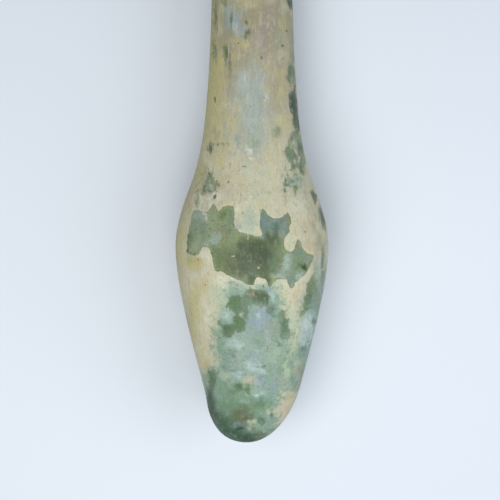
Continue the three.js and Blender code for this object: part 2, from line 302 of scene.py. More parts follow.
# Dabs of colour on the crust: (across, up, half width, half height, colour, strength).
CRUST_DABS = [
    # The first two dun dabs are painted shade: they darken the neck towards the mouth, where the light falls
    # off.
    (0.0, 100.0, 14.0, 32.0, "dun_and_neck_shade", 0.95), (0.0, 76.0, 12.0, 16.0, "dun_and_neck_shade", 0.48),
    (-9.2, 74.0, 2.6, 18.0, "straw", 0.8), (-7.2, 72.0, 1.6, 5.0, "straw", 0.6),
    # The broad haze dab down the middle of the neck is partly a bluish bloom and partly a painted reflection
    # of the light.
    (-6.4, 64.0, 1.6, 5.0, "straw", 0.5), (0.4, 66.0, 3.0, 9.0, "haze_and_highlight", 0.95),
    (-2.6, 70.0, 1.6, 4.0, "haze_and_highlight", 0.5), (-1.6, 72.4, 1.4, 1.9, "milk", 0.3),
    (1.8, 71.0, 0.8, 4.0, "lavender", 0.35), (0.2, 75.6, 1.2, 1.2, "haze_and_highlight", 0.5),
    (-0.6, 68.2, 0.9, 1.2, "milk", 0.2), (4.6, 70.0, 1.2, 6.0, "dun_and_neck_shade", 0.4),
    (6.5, 64.1, 1.4, 1.8, "straw", 0.5), (5.8, 71.4, 1.0, 3.0, "straw", 0.3),
    # The lavender, haze and milk dabs high on the left of the neck paint a soft highlight.
    (-3.8, 84.4, 1.7, 2.2, "lavender", 0.9), (-4.8, 86.6, 1.2, 1.4, "haze_and_highlight", 0.7),
    (-3.2, 82.2, 0.7, 1.4, "milk", 0.35), (-1.9, 82.2, 0.5, 1.5, "lavender", 0.9),
    (-2.2, 86.4, 0.8, 1.4, "haze_and_highlight", 0.5), (0.2, 84.4, 1.4, 3.4, "dun_and_neck_shade", 0.5),
    (2.5, 82.0, 0.9, 4.4, "mauve", 0.85), (1.0, 80.6, 1.6, 3.0, "mauve", 0.4),
    (3.8, 85.0, 1.2, 2.6, "mauve", 0.5), (-6.6, 82.6, 0.8, 1.6, "rose", 0.5),
    (-6.4, 86.6, 0.6, 1.8, "straw", 0.6), (-6.2, 76.0, 0.8, 2.0, "straw", 0.8),
    (-3.2, 80.0, 1.0, 1.0, "tan", 0.5), (-1.4, 79.6, 0.9, 0.8, "straw", 0.6),
    (-3.2, 77.4, 0.8, 1.0, "tan", 0.5), (-1.0, 88.0, 3.0, 1.0, "straw", 0.3),
    (5.0, 82.0, 1.0, 3.4, "sage", 0.2), (6.4, 84.0, 0.8, 2.4, "straw", 0.3),
    (8.2, 80.0, 0.3, 5.0, "lavender", 0.5), (7.0, 79.0, 0.6, 1.6, "rose", 0.4),
    (3.6, 76.4, 1.2, 1.6, "rose", 0.25), (4.9, 62.2, 0.8, 1.3, "sage", 0.6),
    (4.9, 62.2, 0.7, 1.1, "umber", 0.35), (4.6, 60.6, 0.7, 0.8, "tan", 0.4),
    (-2.2, 65.2, 0.5, 0.7, "sage", 0.6), (2.1, 69.1, 0.7, 0.9, "slate", 0.3),
    (0.8, 69.6, 0.4, 0.6, "slate", 0.3), (-0.9, 67.6, 0.4, 0.4, "slate", 0.3),
    (-3.1, 60.9, 0.9, 1.3, "slate", 0.6), (-2.5, 59.4, 0.8, 0.8, "lavender", 0.7),
    (0.3, 59.8, 1.5, 1.4, "sage", 0.6), (1.0, 60.4, 1.0, 0.5, "slate", 0.3),
    # The small chalk dab at 57 mm up is a painted glint.
    (-1.2, 58.2, 1.4, 0.7, "haze_and_highlight", 0.6), (-0.1, 57.0, 0.6, 0.35, "chalk_and_glint", 1.0),
    (-0.7, 58.4, 0.5, 0.4, "chalk_and_glint", 0.7), (-5.2, 62.6, 0.8, 1.6, "haze_and_highlight", 0.4),
    (-4.0, 64.2, 0.8, 1.6, "straw", 0.4), (-6.4, 56.6, 1.0, 1.8, "straw", 0.8),
    (-7.2, 61.6, 0.8, 1.2, "dun_and_neck_shade", 0.5), (-1.2, 54.4, 1.6, 1.0, "mint", 0.5),
    (3.6, 57.6, 1.2, 1.8, "straw", 0.3), (2.4, 53.6, 1.4, 1.6, "mint", 0.4),
    (-1.6, 55.3, 0.6, 0.3, "sage", 0.5), (-5.6, 52.6, 1.0, 1.6, "tan", 0.35),
    (-2.0, 51.8, 0.8, 1.2, "tan", 0.3), (-1.6, 50.4, 1.2, 1.0, "rose", 0.3),
    (-4.4, 50.0, 0.9, 1.2, "rose", 0.3), (2.6, 50.6, 1.4, 1.2, "rose", 0.25),
    (4.6, 52.4, 1.0, 1.6, "straw", 0.2), (-10.8, 56.0, 1.2, 7.0, "straw", 0.8),
    (-9.6, 53.8, 0.5, 1.8, "umber", 0.25), (-12.4, 49.0, 0.8, 3.0, "tan", 0.6),
    (-7.4, 49.4, 1.6, 1.8, "chalk_and_glint", 0.7), (-10.2, 48.6, 0.8, 1.0, "chalk_and_glint", 0.7),
    (1.4, 49.6, 2.6, 1.4, "mint", 0.4), (-0.4, 44.4, 1.9, 3.0, "mint", 0.8),
    (-0.6, 44.2, 1.5, 2.5, "haze_and_highlight", 0.5), (-2.9, 43.4, 0.8, 1.0, "haze_and_highlight", 0.9),
    (-2.2, 41.9, 1.2, 0.5, "chalk_and_glint", 0.6), (0.4, 41.8, 1.2, 0.4, "sage", 0.5),
    (-3.2, 46.4, 0.4, 1.6, "chalk_and_glint", 0.7), (-15.0, 44.0, 1.8, 12.0, "straw", 0.75),
    (-15.6, 40.0, 0.8, 9.0, "umber", 0.12), (-14.4, 30.0, 1.0, 5.0, "rose", 0.3),
    (-12.6, 36.0, 1.4, 1.4, "straw", 0.9), (-11.2, 36.0, 1.4, 1.2, "straw", 0.9),
    (-12.4, 37.0, 0.6, 1.2, "leaf", 0.25), (-10.8, 36.4, 0.7, 0.8, "tan", 0.8),
    (-9.4, 31.8, 0.9, 1.4, "tan", 0.6), (-12.2, 33.4, 1.2, 1.4, "rose", 0.25),
    (-10.6, 30.2, 1.4, 2.0, "straw", 0.4), (-11.6, 26.0, 1.6, 6.4, "straw", 0.75),
    (-9.8, 25.0, 1.2, 4.0, "chalk_and_glint", 0.3), (-12.6, 24.0, 0.6, 4.0, "dun_and_neck_shade", 0.3),
    (-9.0, 20.4, 1.1, 1.8, "rose", 0.5), (-10.0, 18.0, 1.0, 1.8, "straw", 0.6),
    (-9.0, 15.4, 0.9, 1.4, "tan", 0.7), (-8.6, 25.0, 1.0, 2.4, "chalk_and_glint", 0.4),
    (-6.8, 30.0, 1.8, 2.6, "mint", 0.9), (-7.0, 32.2, 1.4, 1.0, "chalk_and_glint", 0.4),
    (-4.6, 32.4, 1.4, 0.8, "chalk_and_glint", 0.6), (-3.4, 31.9, 1.6, 0.5, "haze_and_highlight", 0.8),
    (-9.4, 37.8, 0.8, 0.9, "chalk_and_glint", 0.7), (2.4, 31.8, 1.0, 0.8, "mint", 0.8),
    (2.6, 31.6, 0.4, 0.5, "olive", 0.6), (0.9, 31.0, 0.8, 0.5, "haze_and_highlight", 0.6),
    (7.4, 39.6, 0.9, 1.3, "mint", 0.7), (5.6, 31.8, 1.3, 0.9, "mint", 0.5),
    (8.9, 29.4, 1.4, 1.8, "rose", 0.7), (8.9, 29.8, 0.8, 1.0, "tan", 0.3),
    (10.8, 40.0, 1.8, 1.3, "rose", 0.8), (11.6, 39.6, 0.8, 0.7, "tan", 0.3),
    (11.4, 44.0, 1.6, 3.0, "rose", 0.5), (9.4, 47.4, 1.8, 3.0, "chalk_and_glint", 0.45),
    (12.4, 44.6, 0.5, 2.4, "dun_and_neck_shade", 0.5), (10.6, 49.8, 0.6, 0.8, "umber", 0.35),
    (9.0, 50.4, 0.7, 0.9, "sage", 0.5), (13.2, 40.0, 0.8, 3.0, "dun_and_neck_shade", 0.6),
    (12.6, 36.0, 1.0, 1.6, "haze_and_highlight", 0.8), (13.6, 34.8, 1.2, 1.6, "sage", 0.9),
    (12.6, 33.6, 0.8, 0.9, "sage", 0.6), (14.4, 38.0, 0.5, 2.4, "slate", 0.6),
    (8.0, 24.6, 0.9, 3.4, "mint", 0.6), (8.4, 21.6, 1.2, 4.4, "mint", 0.5),
    (7.4, 12.6, 1.0, 3.0, "mint", 0.7), (7.5, 9.3, 0.8, 0.9, "tan", 0.8), (8.9, 11.4, 0.8, 0.9, "dun_and_neck_shade", 0.6),
    (9.0, 8.6, 0.9, 2.0, "haze_and_highlight", 0.4), (6.8, 6.6, 1.5, 1.6, "rose", 0.9), (6.0, 5.2, 1.0, 0.7, "rose", 0.8),
    (6.6, 4.0, 1.2, 0.7, "chalk_and_glint", 0.4), (3.1, 4.8, 0.8, 1.2, "mint", 0.9), (2.8, 2.6, 0.6, 0.4, "tan", 0.9),
    (5.4, 3.2, 0.8, 0.4, "sage", 0.7),
]

# Dabs of colour on the film.
FILM_DABS = [
    (0.6, 20.8, 4.6, 4.0, "haze_and_highlight", 0.4), (2.4, 14.8, 4.0, 3.6, "haze_and_highlight", 0.4),
    (-3.4, 15.2, 2.6, 2.2, "haze_and_highlight", 0.3), (4.6, 29.0, 1.3, 1.8, "teal", 0.6),
    (5.8, 30.0, 0.8, 1.0, "mint", 0.5), (3.9, 29.6, 0.5, 1.0, "milk", 0.4),
    (2.0, 26.6, 1.3, 0.8, "lavender", 1.0), (1.6, 24.4, 2.4, 2.2, "lavender", 1.0),
    (3.4, 23.2, 1.4, 1.6, "dun_and_neck_shade", 0.2), (4.8, 22.4, 1.0, 1.4, "dun_and_neck_shade", 0.35),
    (1.0, 26.0, 0.5, 0.5, "milk", 0.6), (-5.1, 25.5, 1.0, 1.1, "milk", 0.7),
    (-5.6, 28.6, 1.0, 1.4, "mint", 0.8), (-2.8, 25.6, 0.35, 0.3, "chalk_and_glint", 0.8),
    (-0.9, 24.0, 1.1, 1.5, "slate", 0.7), (-0.4, 26.4, 0.8, 0.8, "slate", 0.5),
    (-6.9, 25.0, 0.7, 1.6, "mint", 0.5), (-6.7, 21.4, 0.6, 1.6, "sage", 0.6),
    (-2.8, 19.8, 1.2, 1.0, "milk", 0.5), (-4.8, 19.6, 1.2, 1.2, "milk", 0.35),
    (1.2, 20.4, 1.1, 1.4, "sage", 0.9), (2.4, 18.9, 0.9, 0.7, "slate", 0.5),
    (4.6, 20.2, 1.0, 0.8, "sage", 0.5), (3.0, 20.8, 0.9, 0.9, "haze_and_highlight", 0.5),
    (4.8, 17.6, 1.8, 2.2, "mint", 0.4), (5.9, 15.4, 1.2, 2.4, "sage", 0.5),
    (3.6, 15.0, 1.4, 1.8, "sage", 0.35), (0.2, 17.6, 1.2, 1.2, "lavender", 0.6),
    (-2.4, 17.0, 1.2, 0.9, "haze_and_highlight", 0.5), (-4.6, 18.0, 1.4, 0.8, "sage", 0.5),
    (-6.0, 18.4, 0.8, 2.4, "sage", 0.5), (-5.4, 16.6, 1.2, 0.6, "slate", 0.4),
    (-6.8, 15.6, 0.8, 0.8, "mint", 0.6), (0.4, 15.4, 1.5, 0.9, "milk", 0.6),
    (2.0, 14.2, 1.0, 0.6, "milk", 0.6), (-3.0, 13.7, 1.0, 0.6, "milk", 1.0),
    (-3.0, 13.7, 0.8, 0.4, "lavender", 0.8), (-5.4, 13.6, 1.4, 0.9, "mint", 0.7),
    (-6.6, 12.8, 0.7, 0.8, "haze_and_highlight", 0.5), (-4.0, 14.6, 2.0, 0.3, "slate", 0.8),
    (1.8, 12.2, 1.1, 1.4, "lavender", 0.9), (-0.8, 12.1, 1.6, 0.9, "rose", 0.7),
    (4.4, 11.2, 0.9, 1.2, "lavender", 0.8), (3.4, 13.2, 0.9, 0.6, "sage", 0.5),
    (5.4, 12.4, 0.8, 1.6, "haze_and_highlight", 0.5), (6.2, 11.4, 0.8, 1.4, "rose", 0.4),
    (7.1, 14.4, 0.6, 3.4, "mint", 0.9), (7.9, 11.6, 0.45, 1.2, "sage", 0.9),
    (-3.8, 8.0, 4.2, 3.0, "sage", 1.0), (-2.0, 6.4, 4.4, 2.4, "fern", 0.65),
    (1.4, 7.8, 2.6, 1.2, "fern", 0.85), (2.6, 8.8, 1.4, 0.8, "slate", 0.5),
    (-5.8, 11.4, 1.4, 1.4, "sage", 0.7), (-6.9, 9.8, 1.0, 1.2, "teal", 0.8),
    (-1.6, 8.1, 0.8, 0.6, "milk", 0.25), (1.2, 9.6, 1.4, 0.35, "milk", 0.8),
    (2.4, 10.0, 0.6, 0.5, "milk", 0.3), (-0.9, 10.2, 0.9, 1.2, "fern", 0.9),
    (-0.9, 10.0, 0.4, 0.5, "mint", 0.6), (-2.7, 11.0, 0.9, 1.0, "fern", 0.9),
    (-3.8, 10.4, 1.0, 1.0, "fern", 0.6), (-8.2, 12.6, 0.9, 2.0, "fern", 0.7),
    (-8.4, 8.8, 1.0, 1.8, "deep", 0.8), (-8.4, 6.0, 1.3, 2.4, "deep", 0.95),
    (-6.8, 4.6, 1.5, 1.8, "deep", 0.7), (-5.2, 3.4, 2.2, 1.8, "deep", 0.75),
    (-4.4, 2.0, 3.0, 1.4, "deep", 0.9), (-1.5, 0.6, 4.4, 1.5, "deep", 1.0),
    (-1.4, -0.4, 3.4, 1.0, "shade", 0.9), (-8.0, 5.0, 0.6, 1.8, "shade", 0.6),
    (-1.6, 4.8, 2.4, 1.7, "deep", 0.42), (-2.0, 5.2, 2.2, 1.6, "umber", 0.7),
    (-0.7, 4.4, 1.2, 1.0, "umber", 0.6), (-2.6, 2.9, 1.0, 0.7, "shade", 0.9),
    (-1.8, 3.4, 0.5, 0.5, "deep", 0.6), (0.4, 3.9, 0.9, 0.55, "mint", 0.9),
    (-0.7, 2.9, 0.5, 0.3, "straw", 0.9), (0.4, 2.6, 0.9, 0.5, "umber", 0.5),
    (1.8, 1.4, 1.4, 0.7, "umber", 0.7), (1.8, 4.2, 0.7, 0.8, "deep", 0.6),
    (1.7, 5.8, 1.2, 0.8, "sage", 0.8), (3.6, 6.2, 0.9, 0.9, "mint", 0.7), (4.4, 7.6, 0.7, 1.0, "haze_and_highlight", 0.5),
    (4.0, 5.5, 0.4, 0.5, "slate", 1.0), (3.4, 2.6, 0.8, 0.5, "sage", 0.8),
    (11.7, 30.4, 1.1, 2.6, "sage", 1.0), (11.4, 31.0, 0.6, 1.4, "leaf", 0.5),
    (11.0, 27.0, 0.6, 0.7, "leaf", 0.8), (9.8, 26.0, 0.6, 0.6, "sage", 0.8),
    (13.4, 30.0, 0.7, 2.4, "haze_and_highlight", 0.8), (12.8, 28.0, 0.6, 1.6, "slate", 0.5),
    (11.4, 24.4, 1.5, 2.2, "milk", 0.9), (12.6, 24.1, 0.5, 0.6, "fern", 0.9),
    (10.8, 21.6, 1.7, 2.6, "milk", 1.0), (11.0, 22.8, 1.4, 2.6, "chalk_and_glint", 0.3),
    (10.6, 21.4, 1.0, 1.2, "lavender", 0.35), (10.4, 18.8, 0.8, 0.7, "slate", 1.0),
    (11.6, 19.8, 0.5, 0.9, "slate", 0.7), (11.3, 17.6, 0.7, 1.4, "haze_and_highlight", 0.6),
    (9.3, 16.0, 1.0, 1.0, "mint", 0.7), (8.9, 14.2, 1.0, 1.1, "rose", 0.5),
    (10.2, 13.8, 0.8, 1.6, "dun_and_neck_shade", 0.5), (8.4, 18.0, 0.7, 1.2, "mint", 0.6),
    (8.0, 53.0, 1.0, 0.9, "lavender", 0.7),
]

# Dabs of colour on the bare glass.
GLASS_DABS = [
    (0.0, 8.0, 16.0, 17.0, "sage", 0.9), (0.4, 36.8, 7.8, 5.6, "moss", 0.26),
    (4.5, 44.0, 3.4, 2.4, "slate", 0.85), (9.3, 36.5, 3.2, 4.5, "sage", 0.35),
    (-9.8, 42.6, 3.8, 5.0, "mint", 0.6), (-5.2, 37.2, 2.8, 3.6, "moss", 0.22),
    (-12.4, 41.0, 1.4, 4.0, "mint", 0.35), (-11.2, 45.6, 1.5, 1.0, "milk", 0.45),
    (-12.2, 44.0, 0.8, 1.0, "sage", 0.3), (-9.6, 45.6, 1.0, 1.2, "milk", 0.7),
    (-6.0, 45.4, 0.7, 1.4, "leaf", 0.35), (-5.4, 46.4, 0.6, 0.7, "leaf", 0.2),
    (-6.4, 42.8, 1.8, 1.0, "dun_and_neck_shade", 0.45), (-4.3, 45.0, 0.7, 2.0, "slate", 0.6),
    (-4.4, 42.8, 1.0, 1.0, "slate", 0.4), (-10.4, 43.0, 1.2, 1.4, "sage", 0.35),
    (-12.2, 41.4, 0.9, 1.8, "leaf", 0.3), (-12.6, 40.6, 0.4, 2.0, "fern", 0.5),
    (-11.4, 39.2, 1.0, 0.9, "mint", 0.3), (-9.6, 41.8, 0.9, 1.4, "sage", 0.45),
    (-7.2, 41.0, 1.0, 0.9, "milk", 0.5), (-8.4, 40.3, 1.1, 0.7, "milk", 0.4),
    (-9.4, 39.7, 0.9, 0.5, "milk", 0.4), (-5.4, 41.6, 1.4, 0.7, "dun_and_neck_shade", 0.4),
    (-7.6, 38.2, 0.8, 1.4, "fern", 0.4), (-6.0, 36.6, 1.6, 2.4, "moss", 0.2),
    (-3.6, 36.4, 2.2, 2.8, "moss", 0.4), (-3.4, 34.6, 2.6, 1.4, "moss", 0.4),
    (-2.4, 39.2, 0.7, 2.2, "moss", 0.65), (-0.6, 38.6, 2.4, 2.8, "moss", 0.65),
    (1.6, 38.4, 2.8, 3.0, "moss", 0.7), (0.6, 35.6, 3.2, 2.8, "moss", 0.6),
    (3.2, 36.8, 1.8, 2.6, "moss", 0.45), (-1.6, 36.2, 1.6, 2.2, "moss", 0.45),
    (-1.8, 34.0, 1.6, 1.2, "moss", 0.6), (-0.2, 32.8, 1.2, 1.6, "moss", 0.8),
    (2.6, 34.0, 1.6, 1.2, "moss", 0.5), (3.3, 32.4, 0.8, 1.2, "moss", 0.6),
    (-0.2, 33.8, 0.6, 0.6, "slate", 0.6), (2.0, 32.9, 0.9, 0.4, "slate", 0.7),
    (4.6, 38.6, 1.6, 2.8, "moss", 0.35), (4.6, 35.6, 1.4, 1.8, "fern", 0.5),
    (4.9, 42.6, 1.0, 1.9, "moss", 0.55), (3.6, 41.2, 1.2, 1.0, "moss", 0.6),
    (4.2, 40.6, 1.4, 0.9, "moss", 0.4), (2.3, 43.8, 0.95, 2.6, "slate", 1.0),
    (2.6, 43.6, 1.2, 2.0, "haze_and_highlight", 0.25), (3.4, 44.7, 0.4, 0.4, "fern", 0.4),
    # The narrow haze dab at 44.6 mm up paints a highlight under the crust's edge.
    (4.3, 44.6, 0.9, 0.3, "haze_and_highlight", 0.8), (1.9, 41.3, 0.9, 0.4, "haze_and_highlight", 0.8),
    (6.6, 43.6, 0.9, 1.4, "haze_and_highlight", 0.6), (7.2, 45.3, 0.6, 0.9, "dun_and_neck_shade", 0.6),
    (6.0, 41.9, 0.8, 1.2, "haze_and_highlight", 0.6), (6.9, 42.6, 0.5, 1.0, "slate", 0.6),
    (7.2, 36.2, 0.7, 1.6, "milk", 0.6), (6.9, 34.8, 0.8, 1.0, "milk", 0.4),
    (5.8, 33.9, 1.4, 0.9, "haze_and_highlight", 0.85), (5.4, 33.2, 1.2, 0.5, "milk", 0.5),
    (9.2, 39.6, 0.5, 1.2, "dun_and_neck_shade", 0.5), (9.8, 38.0, 1.1, 0.9, "slate", 0.6),
    (8.4, 37.8, 0.9, 0.5, "slate", 0.6), (8.6, 35.4, 1.0, 1.8, "sage", 0.5),
    (11.4, 36.9, 1.0, 0.8, "haze_and_highlight", 0.6), (10.4, 36.2, 0.9, 0.9, "sage", 0.5),
    (10.7, 34.9, 0.7, 0.5, "moss", 0.95), (9.8, 35.1, 0.6, 0.4, "moss", 0.4),
    (9.8, 33.0, 1.2, 0.8, "milk", 0.85), (9.0, 31.8, 0.8, 0.6, "milk", 0.6),
    (7.9, 32.8, 0.7, 1.2, "slate", 0.8), (-12.95, 40.6, 0.14, 3.0, "umber", 0.9),
    (-3.0, 27.6, 3.0, 2.8, "fern", 1.0), (-3.6, 27.8, 1.4, 1.4, "leaf", 0.6),
    (-2.8, 23.9, 2.2, 2.4, "fern", 1.0), (-2.7, 24.2, 1.0, 1.2, "leaf", 0.6),
    (-5.2, 22.4, 1.8, 1.8, "fern", 1.0), (-5.0, 22.4, 0.7, 0.6, "umber", 0.3),
    (0.8, 29.0, 3.4, 2.4, "fern", 0.95), (0.2, 29.6, 1.0, 0.6, "umber", 0.9),
    (-0.2, 29.6, 0.5, 0.4, "rose", 0.6), (1.8, 29.2, 2.2, 1.5, "moss", 0.45),
    (2.6, 28.6, 0.9, 1.2, "moss", 0.4), (-1.0, 28.4, 0.6, 0.6, "slate", 0.5),
    (3.8, 26.6, 1.6, 1.5, "slate", 0.9), (3.8, 26.6, 0.8, 0.7, "moss", 0.3),
    (6.6, 23.8, 1.9, 3.4, "sage", 0.95), (6.4, 23.6, 0.3, 1.8, "leaf", 0.4),
    (6.8, 24.0, 0.9, 2.4, "moss", 0.25), (7.4, 22.2, 0.6, 0.9, "slate", 0.5),
    (8.2, 67.2, 1.6, 4.6, "deep", 1.0), (8.8, 66.6, 0.9, 3.8, "shade", 0.35),
    (8.3, 65.8, 0.5, 0.8, "umber", 0.4), (9.4, 63.4, 0.6, 1.8, "shade", 0.8),
    (7.7, 69.2, 0.4, 0.9, "slate", 0.5), (8.4, 61.4, 0.8, 1.0, "sage", 0.7),
    (9.5, 58.6, 0.7, 1.3, "shade", 0.7), (7.6, 57.6, 1.0, 1.6, "sage", 0.8),
    (9.2, 57.4, 0.9, 2.8, "fern", 0.6), (9.0, 56.6, 0.7, 1.2, "haze_and_highlight", 0.8),
    (8.7, 59.8, 0.5, 0.9, "milk", 0.7), (10.0, 55.0, 0.4, 1.6, "fern", 0.9),
    (8.2, 55.3, 0.4, 0.5, "deep", 0.6), (10.2, 60.0, 0.4, 1.6, "slate", 0.8),
    (-8.6, 52.0, 2.0, 2.4, "sage", 0.6), (-8.2, 51.4, 0.9, 0.9, "mint", 0.5),
    (-9.8, 51.4, 0.5, 0.9, "moss", 0.3), (-8.5, 53.9, 0.5, 0.5, "umber", 0.5),
    (-8.4, 59.0, 0.6, 1.0, "moss", 0.8), (7.8, 88.0, 1.0, 1.8, "shade", 0.9),
    (8.0, 74.2, 1.0, 2.4, "fern", 0.9), (8.2, 74.6, 0.4, 1.8, "slate", 0.5),
    (14.4, 45.6, 0.9, 2.6, "shade", 0.9), (12.4, 49.6, 0.8, 1.6, "shade", 0.7),
    (11.4, 29.4, 1.6, 4.4, "fern", 0.8), (12.4, 24.0, 1.0, 1.0, "fern", 1.0),
    (-8.4, 9.0, 0.8, 2.4, "deep", 1.0), (-7.4, 5.4, 1.4, 1.8, "deep", 1.0),
    (-8.2, 12.8, 0.9, 1.8, "fern", 0.8), (-4.6, 16.6, 1.8, 3.0, "slate", 0.9),
    (1.6, 17.6, 1.8, 4.0, "slate", 0.9), (5.6, 19.6, 0.6, 0.6, "slate", 1.0),
    (-1.0, 10.4, 1.6, 1.6, "fern", 1.0), (-2.8, 11.0, 1.6, 1.6, "fern", 0.9),
    (3.2, 4.2, 1.8, 1.8, "slate", 0.9), (-7.6, 78.2, 0.5, 1.4, "umber", 0.6),
    (-7.4, 85.4, 0.5, 2.4, "umber", 0.7), (-5.0, 78.0, 0.9, 3.0, "moss", 0.6),
    (-1.0, 82.6, 0.8, 2.6, "umber", 0.6), (-4.2, 84.6, 0.5, 1.3, "slate", 1.0),
    (10.4, 18.8, 0.8, 0.8, "slate", 1.0), (14.2, 35.0, 0.8, 3.4, "slate", 0.9),
    (6.8, 52.0, 0.5, 2.0, "fern", 0.8),
]

# Widths of the edges round bare glass, and how far from an edge its depth is told, in millimetres.
CRISP_EDGE = 0.1
CHIP_EDGE = 0.3
FLAKE_EDGE = 0.15
DEPTH_LIMIT = 3.0
FILM_LIMIT = 6.0

# On the hidden side: how far up the foot the film reaches, how far the flaked belt spreads from the belly,
# how much likelier flakes are in that belt, and the level of noise below which the crust is sound.
FOOT_FILM_TOP = 21
FLAKE_BELT = 6
BELT_FLAKING = 0.22
SOUND_CRUST = 0.42

# How deep the film and the pits lie, and how uneven the crust is, as shares of the crust's thickness.
FILM_SINK = 0.4
PIT_SINK = 0.7
UNEVENNESS = 0.25

Ring = namedtuple("Ring", "radius at slope below above")
Finish = namedtuple("Finish", "roughness clear")

# How rough each finish is, and how much light it lets through.
CRUST = Finish(roughness=0.75, clear=0)
FILM = Finish(roughness=0.56, clear=0.1)
BARE = Finish(roughness=0.44, clear=0.3)
INNER = Finish(roughness=0.7, clear=0.3)


def stretch(low, high):
    """A Bezier stretch of the section from ring to ring, as four (radius, station) points."""
    return [
        (low.radius, low.at),
        (low.radius + low.slope * low.above, low.at + low.above),
        (high.radius - high.slope * high.below, high.at - high.below),
        (high.radius, high.at),
    ]


def wall_rings(sizes, inset=0, floor=0):
    """The rings from the foot to the neck's waist, set in by the wall and, at the foot, up by the floor.

    Each has its radius, its station, how fast the radius grows there, and how far that slope reaches below
    and above it.
    """
    foot_slope = 0.26
    foot_radius = sizes.foot_radius + foot_slope * floor
    return [
        Ring(foot_radius - inset, sizes.foot_end + floor, slope=foot_slope, below=3.6 * MM, above=9.2 * MM),
        Ring(sizes.belly_radius - inset, sizes.belly_at, slope=0, below=8 * MM, above=4 * MM),
        Ring(sizes.shoulder_radius - inset, sizes.shoulder_at, slope=-0.4, below=4 * MM, above=3.2 * MM),
        Ring(sizes.neck_radius - inset, sizes.neck_at, slope=-0.11, below=4.6 * MM, above=8.2 * MM),
        Ring(sizes.waist_radius - inset, sizes.waist_at, slope=0, below=12 * MM, above=12 * MM),
    ]


def wall_stretches(sizes, rings, floor=0):
    foot = rings[0]
    tip = [
        (0, floor),
        (sizes.foot_bluntness, floor),
        (foot.radius - foot.slope * foot.below, foot.at - foot.below),
        (foot.radius, foot.at),
    ]
    return [tip] + [stretch(low, high) for low, high in zip(rings, rings[1:])]


def quarter_turn(centre, radius, start):
    """A quarter of a circle as one Bezier stretch, counterclockwise from the start angle."""
    reach = 4 / 3 * math.tan(math.pi / 8) * radius
    cos, sin = math.cos(start), math.sin(start)
    across, along = np.array((cos, sin)), np.array((-sin, cos))
    first = np.array(centre) + radius * across
    last = np.array(centre) + radius * along
    return [first, first + reach * along, last + reach * across, last]


def section(sizes):
    """The two sides of the section: the outside up and over the lip, and the inside down to the floor."""
    rings = wall_rings(sizes)
    lip = (sizes.lip_radius - sizes.lip_roll, sizes.overall - sizes.lip_roll)
    under_lip = Ring(lip[0], lip[1] - sizes.lip_roll, slope=0.94, below=2.6 * MM, above=0)
    outside = wall_stretches(sizes, rings) + [stretch(rings[-1], under_lip)]
    outside += [quarter_turn(lip, sizes.lip_roll, -math.pi / 2), quarter_turn(lip, sizes.lip_roll, 0)]

    inner_rings = wall_rings(sizes, inset=sizes.side_wall, floor=sizes.foot_wall)
    bore = inner_rings[-1].radius
    bore_top = sizes.overall - sizes.funnel_depth
    funnel = [
        (lip[0], sizes.overall),
        (bore + sizes.funnel_brim, sizes.overall),
        (bore, bore_top + sizes.funnel_ease),
        (bore, bore_top),
    ]
    waist = sizes.waist_at
    handle = 3 * MM
    straight = [(bore, bore_top), (bore, bore_top - handle), (bore, waist + handle), (bore, waist)]
    return outside, [funnel, straight] + wall_stretches(sizes, inner_rings, floor=sizes.foot_wall)


def rough_length(points):
    """The length of a Bezier stretch, taken halfway between its chord and its handles."""
    handles = sum(math.dist(a, b) for a, b in zip(points, points[1:]))
    return (handles + math.dist(points[0], points[-1])) / 2


def blow(sizes):
    """Draws the section, turns it round the axis and gives the upright bottle, with its front to -Y."""
    outside, inside = section(sizes)
    bpy.ops.object.select_all(action="DESELECT")
    bpy.ops.curve.primitive_bezier_curve_add(location=(0, 0, 0))
    drawn = bpy.context.object.data
    drawn.splines.clear()
    for stretches, step in ((outside, sizes.ring_step), (inside, sizes.inner_step)):
        for points in stretches:
            spline = drawn.splines.new("BEZIER")
            spline.resolution_u = max(3, round(rough_length(points) / step))
            spline.bezier_points.add(1)
            start, start_handle, end_handle, end = (Vector((radius, 0, at)) for radius, at in points)
            for point, spot, handles in zip(
                spline.bezier_points, (start, end), ((start, start_handle), (end_handle, end))
            ):
                point.handle_left_type = point.handle_right_type = "FREE"
                point.co = spot
                point.handle_left, point.handle_right = handles
    bpy.ops.object.convert(target="MESH")
    bottle = bpy.context.object
    bottle.name = bottle.data.name = "weathered_bottle"
    bpy.ops.object.mode_set(mode="EDIT")
    bpy.ops.mesh.select_all(action="SELECT")
    bpy.ops.mesh.remove_doubles(threshold=WELD)
    bpy.ops.mesh.spin(steps=sizes.segments, angle=2 * math.pi, center=(0, 0, 0), axis=(0, 0, 1))
    bpy.ops.mesh.select_all(action="SELECT")
    bpy.ops.mesh.remove_doubles(threshold=WELD)
    bpy.ops.mesh.normals_make_consistent(inside=False)
    bpy.ops.object.mode_set(mode="OBJECT")
    bpy.ops.object.shade_smooth()
    return bottle


def smooth(value, low, high):
    t = np.clip((value - low) / (high - low), 0, 1)
    return t * t * (3 - 2 * t)


def read_points(mesh):
    values = np.zeros(len(mesh.vertices) * 3)
    mesh.vertices.foreach_get("co", values)
    return values.reshape(-1, 3)


def write_points(mesh, points):
    mesh.vertices.foreach_set("co", points.ravel())
    mesh.update()


def cloud(points, size, octaves, shift, reach=1):
    """Soft noise at each point, about as far as the reach to either side of 0, and the same on each run.

    The size of its lumps is in millimetres, and the shift picks another part of the noise.
    """
    fading, narrowing = 0.9, 2.1
    offset = Vector((shift, 2 * shift, -shift))
    places = (Vector(point) / (size * MM) + offset for point in points)
    return reach * np.array([noise.fractal(place, fading, narrowing, octaves) for place in places])


